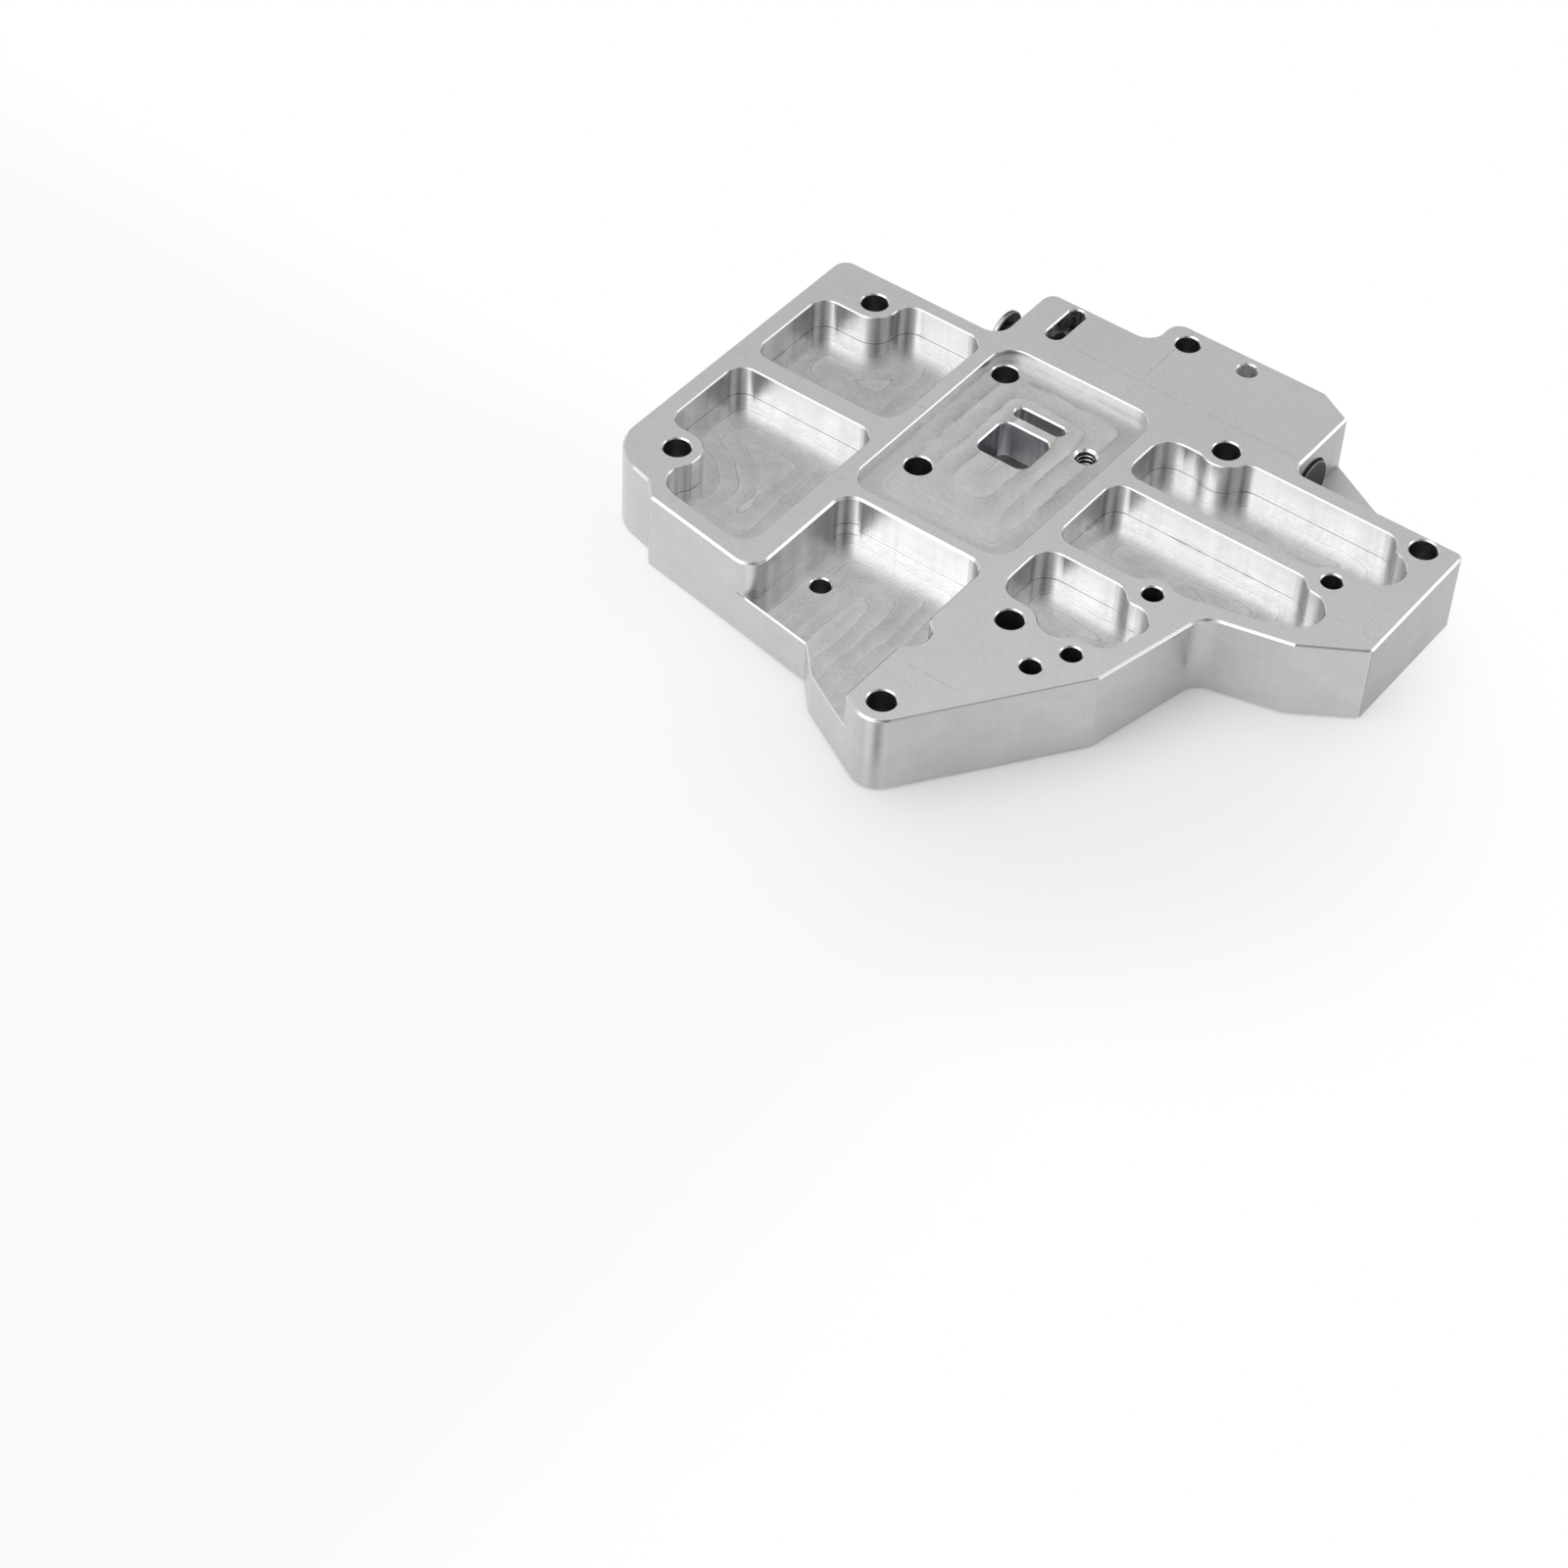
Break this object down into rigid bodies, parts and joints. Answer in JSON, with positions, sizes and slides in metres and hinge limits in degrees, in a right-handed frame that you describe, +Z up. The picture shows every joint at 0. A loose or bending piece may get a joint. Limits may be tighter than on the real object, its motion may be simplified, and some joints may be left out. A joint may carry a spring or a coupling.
{
  "type": "hydraulic valve body",
  "caption": "Milled aluminium valve body, a thick plate with pockets, bolt holes and a low ledge, and a steel spool that slides in its cross bore.",
  "frame": {"origin": "centre of the block's footprint box, on the flat underside", "axes": "+X along the cross bore from the spool's flange to its plain end, +Y towards the bore's side, +Z up out of the pockets"},
  "size_m": [0.1882, 0.1706, 0.023],
  "materials": {
    "milled_aluminium": "satin milled faces with bright edges",
    "dark_steel": "dark turned steel with a bright flange rim"
  },
  "bodies": {
    "block": {"valve_body": "milled_aluminium"},
    "spool": {"manual_valve": "dark_steel"}
  },
  "joints": [
    {"name": "spool_slide", "type": "slide", "parent": "block", "child": "spool", "axis": [1, 0, 0], "range_m": [-0.012, 0.005]}
  ]
}
